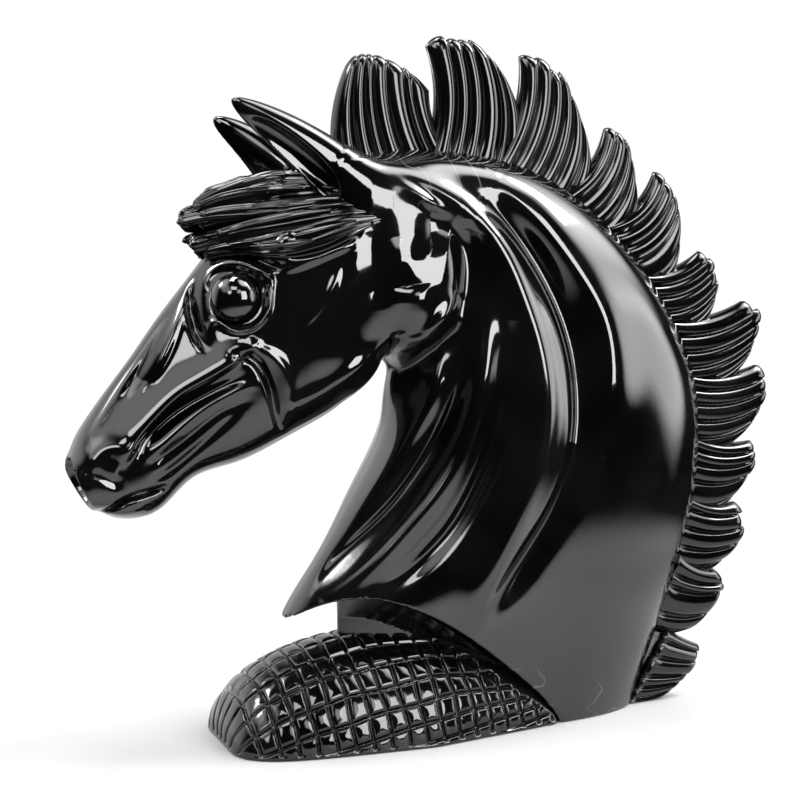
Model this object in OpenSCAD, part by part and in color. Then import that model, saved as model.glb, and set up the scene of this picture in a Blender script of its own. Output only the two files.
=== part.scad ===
// Horse head bust carved from one block of polished black stone.
// The muzzle points along -X, the horse's left side faces -Y and the ground is z = 0.
// The origin is on the ground, below the middle of the figure's bounding box.

/* [Overall size] */
// Length from the muzzle to the rearmost mane lock
body_length = 240; // [160:5:310]
// Height from the ground to the tallest mane lock
body_height = 222; // [150:5:285]
// Thickness across the flanks of the neck
body_thickness = 60; // [40:1:78]

/* [Head] */
// Diameter of each eyeball
eye_diameter = 15; // [12:0.5:16]
// Thickness of the rolled lid around each eye
lid_thickness = 2.4; // [1.6:0.1:3]
// Length of each ear, from its root to its tip
ear_length = 46; // [36:1:54]
// Number of strands in the forelock on each side
forelock_strands = 5; // [3:1:6]
// Width of the forelock strands
strand_width = 5.2; // [4:0.1:6.5]

/* [Mane] */
// Half thickness of the mane locks where they leave the crest
lock_root_half = 6; // [4:0.25:8]
// Half thickness of the mane locks at their tips
lock_tip_half = 2.4; // [1.5:0.1:3.5]
// Depth of the grooves between the strands, as a share of the thickness
strand_depth = 0.4; // [0.15:0.05:0.5]

/* [Base mound] */
// Half width of the mound at the ground
mound_half_width = 29; // [26:0.5:36]
// Height of the mound
mound_height = 32.5; // [28:0.5:39]
// Distance between the hatching grooves
hatch_pitch = 6; // [5.5:0.1:10]
// Width of the hatching grooves
hatch_width = 1.1; // [0.6:0.1:1.6]
// Depth of the hatching grooves
hatch_depth = 1.1; // [0.6:0.1:1.6]

/* [Hidden] */

// Every shape below is drawn at the reference size and stretched to the driving one.
reference = [240, 222, 60];
stretch = [body_length / reference[0], body_thickness / reference[2], body_height / reference[1]];
stone = [0.13, 0.13, 0.14];
leaf = 0.2; // thickness of the thin slices that a hull joins

// ---- slices and sweeps ---------------------------------------------------

// Egg-shaped slice across the figure. front and back are [x, z] points of the middle plane,
// half is the half thickness and lead moves the thickest place forwards.
module slice(front, back, half, lead = 0, sides = 28) {
    run = back - front;
    chord = norm(run);
    translate([front[0], 0, front[1]])
        rotate([0, -atan2(run[1], run[0]), 0])
            linear_extrude(leaf)
                polygon([
                    for (i = [0 : sides - 1])
                        let (t = 360 * i / sides)
                            [chord * (1 - cos(t)) / 2, half * sin(t) * (1 + lead * cos(t))]
                ]);
}

// Skin through a list of [front, back, half, lead] slices
module loft(slices) {
    for (i = [0 : len(slices) - 2])
        hull() {
            slice(slices[i][0], slices[i][1], slices[i][2], slices[i][3]);
            slice(slices[i + 1][0], slices[i + 1][1], slices[i + 1][2], slices[i + 1][3]);
        }
}

// Round bead swept through a list of [x, y, z, radius] points
module bead(path, sides = 8) {
    for (i = [0 : len(path) - 2])
        hull()
            for (p = [path[i], path[i + 1]])
                translate([p[0], p[1], p[2]])
                    sphere(r = p[3], $fn = sides);
}

module both_sides() {
    children();
    mirror([0, 1, 0]) children();
}

// ---- neck ----------------------------------------------------------------

neck_slices = [
    [[14, 0], [72, 0], 17, 0.25],
    [[8, 14], [75, 12], 19, 0.25],
    [[2, 28], [78, 26], 21.5, 0.2],
    [[-12, 38], [81, 36], 24, 0.1],
    [[-50.5, 39.5], [84, 46], 25, -0.1],
    [[-44, 49], [87, 56], 26, -0.05],
    [[-36, 62], [89.5, 66], 27, 0],
    [[-29, 76], [91, 81], 28, 0],
    [[-22, 90], [91, 97], 28.5, 0],
    [[-19, 101], [88, 113], 28.5, 0],
    [[-18, 112], [81, 129], 28, 0],
    [[-15, 124], [72, 143], 27, 0],
    [[-17, 137], [60, 157], 25.5, 0],
    [[-20, 150], [43, 171], 23.5, 0],
    [[-24, 162], [24, 180], 21, 0],
    [[-31, 168], [2, 184], 18, 0],
    [[-40, 170], [-20, 184], 14, 0]
];

// Muscle ridges down the side of the neck, which meet at the point of the chest:
// [first slice, last slice, angle round the slice at the first, at the last]
neck_ridges = [
    [4, 9, 17, 36],
    [5, 10, 30, 54],
    [5, 12, 44, 68],
    [4, 15, 66, 82]
];
ridge_radius = 3.7; // a ridge stands proud of the flank by two fifths of this

// Middle of a ridge's bead, just under the skin of a slice
function on_slice(index, angle) =
    let (
        s = neck_slices[index],
        place = s[0] + (s[1] - s[0]) * (1 - cos(angle)) / 2,
        half = s[2] * sin(angle) * (1 + s[3] * cos(angle))
    )
    [place[0], half - ridge_radius * 0.6, place[1] + 0.3, ridge_radius];

function ridge_path(ridge) = [
    for (i = [ridge[0] : ridge[1]])
        on_slice(i, ridge[2] + (ridge[3] - ridge[2]) * sin(90 * (i - ridge[0]) / (ridge[1] - ridge[0])))
];

module neck_body() {
    loft(neck_slices);
}

module neck_shape() {
    neck_body();
    both_sides()
        for (ridge = neck_ridges)
            bead(ridge_path(ridge), 8);
}

// Waist that carries the overhanging chest and stands on the mound
module waist() {
    hull() {
        translate([-22, 0, 20]) cylinder(r = 9, h = 28, $fn = 24);
        translate([6, 0, 8]) cylinder(r = 13, h = 30, $fn = 24);
    }
}

// ---- head ----------------------------------------------------------------

head_slices = [
    [[-120, 91], [-114.5, 78], 8, 0],
    [[-118, 98], [-109, 74.5], 10.5, 0],
    [[-113, 105], [-102, 72.5], 11.8, -0.1],
    [[-107, 113], [-92, 75], 11.8, -0.1],
    [[-100, 122], [-82, 84], 12.5, -0.1],
    [[-92, 133], [-69, 88], 15.5, -0.15],
    [[-84, 143], [-57, 93], 19, -0.15],
    [[-76, 153], [-45, 99], 22, -0.1],
    [[-67, 163], [-35, 105], 23.5, -0.05],
    [[-56, 171], [-25, 116], 23.5, 0],
    [[-45, 176], [-16, 132], 22, 0],
    [[-36, 177], [-12, 146], 20, 0]
];
eye_centre = [-71.5, 16.5, 140];

// Rolled lids: a closed loop around the eyeball, drawn out to a point at the tear duct
module eyelids() {
    steps = 14;
    ring = [
        for (i = [0 : steps])
            let (t = 360 * i / steps, r = eye_diameter / 2 + 1.6 + 2.6 * pow(max(0, cos(t - 215)), 6))
                [eye_centre[0] + r * cos(t), eye_centre[1] + 3.6 + 1.4 * cos(t), eye_centre[2] + r * sin(t),
                 lid_thickness / 2]
    ];
    bead(ring, 6);
}

// Crest of bone along the cheek, and the brow above the eye
module head_ridges() {
    bead([[-104, 9.5, 97, 2.5], [-95, 12, 109, 3], [-83, 15.5, 118, 3], [-70, 18, 125, 2.5]]);
    bead([[-96, 7, 116, 3], [-87, 8.5, 130, 3], [-79, 10, 147, 3]]);
    bead([[-80, 14, 151, 3], [-70, 17.5, 154, 3.5], [-58, 18.5, 152, 3.5], [-44, 18.5, 155, 3]]);
}

// Round jaw at the back of the cheek
module jaw() {
    translate([-43, 13, 126])
        scale([1, 0.52, 1])
            sphere(r = 20, $fn = 22);
}

// Mouth line, the groove in front of the jaw and the nostril
module head_grooves() {
    bead([[-115, 7, 76.5, 0.9], [-106, 12, 79.5, 0.9], [-96, 13, 83, 0.6]], 6);
    bead([[-72, 20, 122, 1.2], [-64, 21.5, 121, 1.4], [-59.5, 21.5, 115, 1.6], [-57, 18, 104, 1.8],
          [-54, 12, 98, 1.4]], 6);
    translate([-118, 6, 87])
        rotate([0, 22, 20])
            scale([0.8, 0.7, 1.25])
                sphere(r = 4.6, $fn = 14);
}

module head_shape() {
    difference() {
        union() {
            loft(head_slices);
            both_sides() {
                head_ridges();
                jaw();
                eyelids();
            }
        }
        both_sides() head_grooves();
    }
}

module eyeball() {
    translate(eye_centre)
        scale([1, 0.88, 1])
            sphere(d = eye_diameter, $fn = 22);
}

// ---- ears ----------------------------------------------------------------

// An ear from its root, at the poll, to its tip: a bead that flattens, hollowed in front
module ear_shape(root = [-32, 15, 173], run = [-40, 1, 25]) {
    reach = ear_length / 46;
    direction = run * reach;
    difference() {
        bead([
            [root[0], root[1], root[2], 8.5],
            root_point(root, direction, 0.25, 8.2),
            root_point(root, direction, 0.5, 7.6),
            root_point(root, direction, 0.75, 5.4),
            root_point(root, direction, 0.98, 1.2)
        ], 14);
        hollow = root_point(root, direction, 0.64, 0);
        translate([hollow[0] - 3, hollow[1] + 5.5, hollow[2] - 3.5])
            rotate([0, 32, 0])
                scale([1, 0.3, 0.28])
                    sphere(r = 17 * reach, $fn = 18);
    }
}

// the right ear is set lower and stands steeper
low_root = [-41, 14.5, 168];
low_run = [-28, 1, 25];

function root_point(root, direction, t, radius) = [
    root[0] + direction[0] * t, root[1] + direction[1] * t, root[2] + direction[2] * t, radius
];

// ---- forelock ------------------------------------------------------------

// Strands combed forwards from between the ears, spreading to short points on the forehead
module forelock_shape() {
    for (i = [-forelock_strands : forelock_strands]) {
        t = abs(i) / forelock_strands;
        y = i / forelock_strands;
        thick = strand_width / 2;
        bead([
            [-34 + 2 * t, 13 * y, 179 - 5 * t, thick],
            [-50 - 2 * t, 16 * y, 178 - 10 * t, thick],
            [-66 - 3 * t, 15.5 * y, 171 - 10 * t, thick],
            [-78 + 1 * t, 13 * y, 163 - 8 * t, thick * 0.8],
            [-86 + 3 * t, 12 * y, 160 - 8 * t, thick * 0.25]
        ]);
    }
}

// ---- mane ----------------------------------------------------------------

// Each lock: [root front, root back, tip front, tip middle, tip back, bend, strands] as [x, z] points
locks = [
    [[-33, 180], [0, 180], [-31, 211], [-20, 215], [-4, 204], -5, 7],
    [[-4, 180], [20, 178], [-6, 218], [8, 221], [22, 206], 8, 6],
    [[18, 178], [42, 167], [26, 217], [41, 210], [49, 188], 9, 6],
    [[40, 169], [57, 155], [57, 193], [65, 188], [67, 172], 9, 5],
    [[55, 159], [68, 142], [75, 178], [84, 169], [84, 150], 9, 5],
    [[65, 144], [77, 126], [94, 153], [100, 144], [97, 132], 9, 5],
    [[74, 129], [84, 108], [112, 136], [117, 127], [110, 114], 9, 5],
    [[82, 111], [87, 88], [116, 113], [120, 102], [109, 89], 7, 5],
    [[86, 90], [87, 67], [115, 87], [115, 77], [104, 66], 6, 5],
    [[86, 69], [83, 47], [108, 66], [112, 55], [100, 44], 5, 5],
    [[84, 49], [76, 29], [101, 43], [104, 34], [93, 23], 4, 4],
    [[77, 31], [66, 0], [95, 17], [91, 7], [82, 0], 2, 5]
];
lock_rings = 6;
points_per_strand = 4;

// Point of a lock: across runs from its front edge to its back edge, along from root to tip
function lock_place(lock, across, along) =
    let (
        root = lock[0] + (lock[1] - lock[0]) * across,
        crown = 2 * lock[3] - (lock[2] + lock[4]) / 2,
        tip = lock[2] * pow(1 - across, 2) + crown * 2 * across * (1 - across) + lock[4] * pow(across, 2),
        run = tip - root,
        side = [run[1], -run[0]] / norm(run),
        middle = (root + tip) / 2 + side * lock[5]
    )
    root * pow(1 - along, 2) + middle * 2 * along * (1 - along) + tip * pow(along, 2);

// Half thickness there: a rounded ridge for every strand, thinning to the tip
function lock_half(lock, across, along) =
    let (
        ridge = 1 - strand_depth * (1 - sqrt(abs(sin(180 * lock[6] * across)))),
        edge = pow(1 - pow(abs(2 * across - 1), 6), 0.5)
    )
    (lock_root_half * (1 - along) + lock_tip_half * along) * ridge * edge;

function lock_ring(lock, along) =
    let (m = lock[6] * points_per_strand)
    [
        for (k = [0 : 2 * m - 1])
            let (
                across = k <= m ? k / m : (2 * m - k) / m,
                hand = k <= m ? 1 : -1,
                notch = 1 - 0.06 * along * (1 - abs(sin(180 * lock[6] * across))),
                place = lock_place(lock, across, along * notch),
                half = lock_half(lock, across, along)
            )
            [place[0], hand * half, place[1]]
    ];

module lock_shape(index) {
    lock = locks[index];
    n = 2 * lock[6] * points_per_strand;
    points = [for (r = [0 : lock_rings - 1]) each lock_ring(lock, r / (lock_rings - 1))];
    sides = [
        for (r = [0 : lock_rings - 2], k = [0 : n - 1])
            let (a = r * n + k, b = r * n + (k + 1) % n)
                each [[a, b, b + n], [a, b + n, a + n]]
    ];
    last = (lock_rings - 1) * n;
    caps = [
        for (k = [0 : n / 2 - 1])
            let (p = k, q = k + 1, s = (n - k - 1) % n, t = (n - k) % n)
                each [
                    [p, s, q], [p, t, s],
                    [last + p, last + q, last + s], [last + p, last + s, last + t]
                ]
    ];
    polyhedron(points, [for (f = concat(sides, caps)) if (f[0] != f[1] && f[1] != f[2] && f[0] != f[2]) f]);
}

module mane_lock(index) {
    color(stone)
        scale(stretch)
            difference() {
                lock_shape(index);
                neck_body();
                if (index > 0) lock_shape(index - 1);
                translate([0, 0, -10]) cube([400, 100, 20], center = true);
            }
}

// ---- base mound ----------------------------------------------------------

mound_front = -74;
mound_back = 34;
mound_steps = 16;
hatch_lean = -8;  // the crossing grooves lean towards the front by this angle
fan_tilt = 13;    // the long grooves fan out from an axis that dips towards the front
fan_step = 10.5;  // angle between two long grooves
foot_height = 1.2; // plain edge left along the ground

mound_blunt = 4.5;  // how blunt the front is in plan; 2 would be an ellipse
mound_arch = 2.2;   // the same for the profile
mound_taper = 0.235; // how fast the back half narrows

// Half-egg that lies along X, blunt in front and narrowing to a wedge at the back
module mound_body(inset = 0) {
    middle = (mound_front + mound_back) / 2;
    reach = (mound_back - mound_front) / 2 - inset * 0.6;
    for (i = [0 : mound_steps - 1])
        hull()
            for (k = [i, i + 1])
                let (
                    along = -cos(180 * k / mound_steps) * 0.992,
                    front = along < 0 ? pow(1 - pow(-along, mound_blunt), 1 / mound_blunt) : 1,
                    wide = (mound_half_width - inset - max(0, along * reach - 8) * mound_taper) * front,
                    tall = (mound_height - inset) * pow(1 - pow(abs(along), mound_arch), 1 / mound_arch)
                )
                    translate([middle + reach * along, 0, 0])
                        rotate([90, 0, 90])
                            linear_extrude(leaf)
                                polygon([
                                    for (j = [0 : 16])
                                        let (a = 180 * j / 16)
                                            [wide * cos(a), tall * sin(a)]
                                ]);
}

// Two families of thin cuts: across the mound, and fanned along it
module hatching() {
    count = ceil((mound_back - mound_front + 30) / hatch_pitch);
    for (i = [1 : count])
        translate([mound_front + i * hatch_pitch + 1, 0, 0])
            rotate([0, hatch_lean, 0])
                cube([hatch_width, 100, 120], center = true);
    translate([mound_back + 6, 0, 2])
        rotate([0, -fan_tilt, 0])
            for (a = [-6.5 : 6.5])
                rotate([a * fan_step, 0, 0])
                    translate([-75, 0, 30])
                        cube([170, hatch_width, 60], center = true);
}

// Smooth band left around the foot of the neck
module smooth_band() {
    translate([8, 0, 30])
        rotate([0, 27, 0])
            scale([1, 0.42, 0.5])
                sphere(r = 52, $fn = 32);
}

// ---- the pieces ----------------------------------------------------------

module neck() {
    color(stone)
        scale(stretch)
            difference() {
                union() {
                    neck_shape();
                    waist();
                }
                head_shape();
                mirror([0, 1, 0]) ear_shape();
                ear_shape(low_root, low_run);
                mound_body();
            }
}

module head() {
    color(stone)
        scale(stretch)
            difference() {
                head_shape();
                both_sides() eyeball();
            }
}

module left_ear() {
    color(stone)
        scale(stretch)
            difference() {
                mirror([0, 1, 0]) ear_shape();
                head_shape();
            }
}

module right_ear() {
    color(stone)
        scale(stretch)
            difference() {
                ear_shape(low_root, low_run);
                head_shape();
            }
}

module left_eye() {
    color(stone)
        scale(stretch)
            mirror([0, 1, 0]) eyeball();
}

module right_eye() {
    color(stone)
        scale(stretch)
            eyeball();
}

module forelock() {
    color(stone)
        scale(stretch)
            difference() {
                forelock_shape();
                head_shape();
                neck_body();
                mirror([0, 1, 0]) ear_shape();
                ear_shape(low_root, low_run);
            }
}

module mane_lock_01() { mane_lock(0); }
module mane_lock_02() { mane_lock(1); }
module mane_lock_03() { mane_lock(2); }
module mane_lock_04() { mane_lock(3); }
module mane_lock_05() { mane_lock(4); }
module mane_lock_06() { mane_lock(5); }
module mane_lock_07() { mane_lock(6); }
module mane_lock_08() { mane_lock(7); }
module mane_lock_09() { mane_lock(8); }
module mane_lock_10() { mane_lock(9); }
module mane_lock_11() { mane_lock(10); }
module mane_lock_12() { mane_lock(11); }

module base_mound() {
    color(stone)
        scale(stretch)
            difference() {
                mound_body();
                difference() {
                    hatching();
                    mound_body(hatch_depth);
                    smooth_band();
                    waist();
                    translate([0, 0, foot_height / 2 - 10]) cube([400, 100, 20 + foot_height], center = true);
                }
            }
}

neck();
head();
left_ear();
right_ear();
left_eye();
right_eye();
forelock();
mane_lock_01();
mane_lock_02();
mane_lock_03();
mane_lock_04();
mane_lock_05();
mane_lock_06();
mane_lock_07();
mane_lock_08();
mane_lock_09();
mane_lock_10();
mane_lock_11();
mane_lock_12();
base_mound();
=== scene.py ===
"""Looks of the horse head figurine: polished black stone, carved mane, hatched mound.

Lengths of the object and of the camera's view are millimetres of the CAD design, which
`unit` turns into metres; the floor and the lights are in metres.
X runs from the nose (-) to the mane (+), Y across the thin side, Z up from the ground.
"""

import bpy
import numpy as np
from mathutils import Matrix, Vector


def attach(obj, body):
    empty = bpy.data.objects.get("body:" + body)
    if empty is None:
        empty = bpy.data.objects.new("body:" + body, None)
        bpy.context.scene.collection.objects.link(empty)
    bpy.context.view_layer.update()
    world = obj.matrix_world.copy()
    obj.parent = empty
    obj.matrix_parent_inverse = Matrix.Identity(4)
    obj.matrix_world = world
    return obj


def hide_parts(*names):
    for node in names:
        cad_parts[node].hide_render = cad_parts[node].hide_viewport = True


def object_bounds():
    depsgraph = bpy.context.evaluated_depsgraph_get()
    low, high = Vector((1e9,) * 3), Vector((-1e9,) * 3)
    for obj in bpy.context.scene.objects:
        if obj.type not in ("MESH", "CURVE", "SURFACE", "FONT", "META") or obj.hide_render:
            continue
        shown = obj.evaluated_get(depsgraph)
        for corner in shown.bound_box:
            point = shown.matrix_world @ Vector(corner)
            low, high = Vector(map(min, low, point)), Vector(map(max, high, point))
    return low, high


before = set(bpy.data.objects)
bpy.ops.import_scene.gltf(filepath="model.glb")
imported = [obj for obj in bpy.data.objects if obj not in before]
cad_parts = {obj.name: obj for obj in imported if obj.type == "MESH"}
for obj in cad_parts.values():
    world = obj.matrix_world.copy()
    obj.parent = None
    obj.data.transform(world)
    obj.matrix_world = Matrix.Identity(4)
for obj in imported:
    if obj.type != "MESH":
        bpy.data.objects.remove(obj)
cad_low, cad_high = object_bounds()
DESIGN_LENGTH = 240.2
unit = (cad_high.x - cad_low.x) / DESIGN_LENGTH


# ---- curves and maps ------------------------------------------------------


def bends(rows):
    """Second differences of the natural cubic spline through the rows."""
    n = len(rows)
    left, right = np.eye(n), np.zeros(rows.shape)
    for i in range(1, n - 1):
        left[i, i - 1 : i + 2] = 1, 4, 1
        right[i] = 6 * (rows[i - 1] - 2 * rows[i] + rows[i + 1])
    return np.linalg.solve(left, right)


def spline(rows, bend, s):
    """Points of that spline at the places s, counted in rows."""
    k = np.clip(np.floor(s).astype(int), 0, len(rows) - 2)
    t = (s - k)[:, None]
    inner = t * (1 - t) / 6 * ((2 - t) * bend[k] + (1 + t) * bend[k + 1])
    return (1 - t) * rows[k] + t * rows[k + 1] - inner


def curve(points, count):
    """A smooth curve through the points, as `count` points."""
    rows = np.array(points, float)
    return spline(rows, bends(rows), np.linspace(0, len(rows) - 1, count))


def smooth_min(a, b, k):
    """The smaller of two fields, blended where they differ by less than k."""
    return np.minimum(a, b) - np.clip(1 - np.abs(a - b) / k, 0, 1) ** 3 * k / 6


def smooth_max(a, b, k):
    return -smooth_min(-a, -b, k)


def ramp(a, b, v):
    """0 before a, 1 past b, smooth between; a may be the larger one."""
    t = np.clip((v - a) / (b - a), 0, 1)
    return t * t * (3 - 2 * t)


STEP = 0.5
MAP_X = np.arange(-132, 104, STEP)
MAP_Z = np.arange(-12, 200, STEP)
X, Z = np.meshgrid(MAP_X, MAP_Z, indexing="ij")


def slice_map(slices, full, roof=0.0):
    """Side-view map of half thickness squared, negative outside, of a body given by slices.

    A slice is an egg whose long axis runs from (front x, z) to (back x, z), with its half
    thickness and how far the thick end leans to the back. The higher `full`, the flatter its
    sides; `roof` slopes the front half and fills the back half."""
    rows = np.array(slices, float)
    bend = bends(rows)
    stops = np.linspace(0, len(rows) - 1, 6 * (len(rows) - 1) + 1)
    result = np.full(X.shape, -900.0)

    def offset(row, x, z):
        dx, dz = row[:, 2] - row[:, 0], row[:, 3] - row[:, 1]
        return ((x - row[:, 0]) * dz - (z - row[:, 1]) * dx) / np.hypot(dx, dz)

    before = None
    for s in stops:
        row = spline(rows, bend, np.array([s]))
        now = offset(row, X.ravel(), Z.ravel())
        if before is not None:
            hit = np.nonzero((before <= 0) != (now <= 0))[0]
            x, z = X.ravel()[hit], Z.ravel()[hit]
            s0, s1 = np.full(len(hit), last), np.full(len(hit), s)
            c0, c1 = before[hit], now[hit]
            for _ in range(3):
                middle = s0 + (s1 - s0) * c0 / (c0 - c1)
                at = spline(rows, bend, middle)
                c = offset(at, x, z)
                same = (c <= 0) == (c0 <= 0)
                s0, c0 = np.where(same, middle, s0), np.where(same, c, c0)
                s1, c1 = np.where(same, s1, middle), np.where(same, c1, c)
                c1 = np.where(np.abs(c0 - c1) < 1e-12, c0 + 1e-9, c1)
            dx, dz = at[:, 2] - at[:, 0], at[:, 3] - at[:, 1]
            u = 2 * ((x - at[:, 0]) * dx + (z - at[:, 1]) * dz) / (dx**2 + dz**2) - 1
            lean = np.clip(1 + at[:, 5] * u, 0.3, 2)
            power = full + roof * np.tanh(3 * u)
            value = at[:, 4] ** 2 * (1 - np.abs(u) ** power) * lean**2
            flat = result.ravel()
            flat[hit] = np.maximum(flat[hit], np.maximum(value, -900))
            result = flat.reshape(X.shape)
        before, last = now, s
    return result


def disc_map(x, z, radius_x, radius_z, half, turn=0):
    """The same kind of map for an upright lens."""
    c, s = np.cos(np.radians(turn)), np.sin(np.radians(turn))
    p, q = (X - x) * c + (Z - z) * s, (Z - z) * c - (X - x) * s
    return half**2 * (1 - (p / radius_x) ** 2 - (q / radius_z) ** 2)


def stroke(path, left, right):
    """Height 1 along the path, falling off over `left` and `right` on its two sides."""
    fade = 0.25  # share of the length over which each end dies out
    line = curve(path, 14 * len(path))
    reach = 2.6 * max(left, right)
    low, high = line.min(0) - reach, line.max(0) + reach
    i = slice(*np.searchsorted(MAP_X, [low[0], high[0]]))
    k = slice(*np.searchsorted(MAP_Z, [low[1], high[1]]))
    x, z = X[i, k], Z[i, k]
    best = np.full(x.shape, 1e9)
    side, place = np.zeros(x.shape), np.zeros(x.shape)
    run = np.hypot(*np.diff(line, axis=0).T)
    length = np.concatenate([[0], np.cumsum(run)])
    for a, b, l0, l in zip(line, line[1:], length, run):
        d = (b - a) / l
        t = np.clip((x - a[0]) * d[0] + (z - a[1]) * d[1], 0, l)
        ex, ez = x - a[0] - t * d[0], z - a[1] - t * d[1]
        far = ex**2 + ez**2
        nearer = far < best
        best = np.where(nearer, far, best)
        side = np.where(nearer, d[0] * ez - d[1] * ex, side)
        place = np.where(nearer, (l0 + t) / length[-1], place)
    width = np.where(side > 0, left, right)
    ends = np.sqrt(ramp(-0.02, fade, place) * ramp(-0.02, fade, 1 - place))
    shape = np.zeros(X.shape)
    shape[i, k] = np.exp(-best / width**2) * ends
    return shape


def soften(values, sigma):
    """Gaussian blur of a map."""
    r = int(3 * sigma / STEP) + 1
    w = np.exp(-0.5 * (np.arange(-r, r + 1) * STEP / sigma) ** 2)
    w /= w.sum()
    for axis in (0, 1):
        padded = np.pad(values, [(r, r) if a == axis else (0, 0) for a in (0, 1)], mode="edge")
        size = values.shape[axis]
        values = sum(
            w[j] * (padded[j : j + size] if axis == 0 else padded[:, j : j + size])
            for j in range(2 * r + 1)
        )
    return values


def sample(values, x, z):
    """Value and slope of a map anywhere, by cubic B-spline."""
    u = np.clip((x - MAP_X[0]) / STEP, 1, len(MAP_X) - 3.001)
    v = np.clip((z - MAP_Z[0]) / STEP, 1, len(MAP_Z) - 3.001)
    i, k = u.astype(int), v.astype(int)

    def weights(t):
        second, third = (3 * t**3 - 6 * t**2 + 4) / 6, (1 + 3 * t + 3 * t**2 - 3 * t**3) / 6
        slopes = -((1 - t) ** 2) / 2, (3 * t**2 - 4 * t) / 2, (1 + 2 * t - 3 * t**2) / 2, t**2 / 2
        return ((1 - t) ** 3 / 6, second, third, t**3 / 6), slopes

    (wu, du), (wv, dv) = weights(u - i), weights(v - k)
    value = slope_x = slope_z = 0
    for a in range(4):
        for b in range(4):
            c = values[i + a - 1, k + b - 1]
            value = value + wu[a] * wv[b] * c
            slope_x = slope_x + du[a] * wv[b] * c
            slope_z = slope_z + wu[a] * dv[b] * c
    return value, slope_x / STEP, slope_z / STEP


# ---- body: neck, head and ears as one smooth field -------------------------

# front x, z, back x, z, half thickness, lean
neck_slices = [
    (-62, -20, 64, -14, 18, 0),
    (-60, -6, 69, 2, 19.5, 0),
    (-58, 9, 74, 16, 21, 0),
    (-57, 23, 79.5, 31, 23, 0),
    (-54, 36, 84, 46, 25, -0.05),
    (-47, 48, 87, 56, 26, -0.05),
    (-38.5, 61, 89.5, 66, 27, 0),
    (-30.5, 75, 91, 81, 28, 0),
    (-22, 90, 91, 97, 28.5, 0),
    (-19, 101, 88, 113, 28.5, 0),
    (-18, 112, 81, 129, 28, 0),
    (-15, 124, 72, 143, 27, 0),
    (-17, 137, 60, 157, 25.5, 0),
    (-20, 150, 43, 171, 23.5, 0),
    (-24, 162, 24, 180, 21, 0),
    (-31, 168, 2, 184, 18, 0),
    (-40, 170, -20, 184, 14, 0),
    (-52, 170, -42, 180, 9, 0),
]
head_slices = [
    (-125, 84, -119, 69, 10, 0),
    (-120, 92, -113.5, 75.5, 11.3, 0),
    (-117.5, 98, -108.5, 74, 12, 0),
    (-113, 105, -102, 72.5, 12.2, 0),
    (-107, 113, -92, 75, 11.8, 0),
    (-100, 122, -82, 84, 12.6, 0.05),
    (-92, 133, -69, 88, 15, 0.05),
    (-84, 143, -57, 93, 18, 0.05),
    (-76, 153, -45, 99, 20.4, 0.05),
    (-67, 163, -35, 105, 22.2, 0.05),
    (-56, 171, -25, 116, 23.6, 0),
    (-45, 176, -14, 132, 24.8, 0),
    (-36, 177, -6, 146, 25.4, 0),
    (-26, 178, 2, 160, 23.5, 0),
]

neck_map = slice_map(neck_slices, 2.4)
head_map = smooth_max(slice_map(head_slices, 2.1, 0.45), disc_map(-43, 126, 22, 22, 22.5), 60)
head_map = smooth_max(head_map, disc_map(-10, 146, 22, 34, 25.5, 12), 200)
body_map = smooth_max(neck_map, head_map, 160)
body_map = soften(body_map, 1.0)

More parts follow.
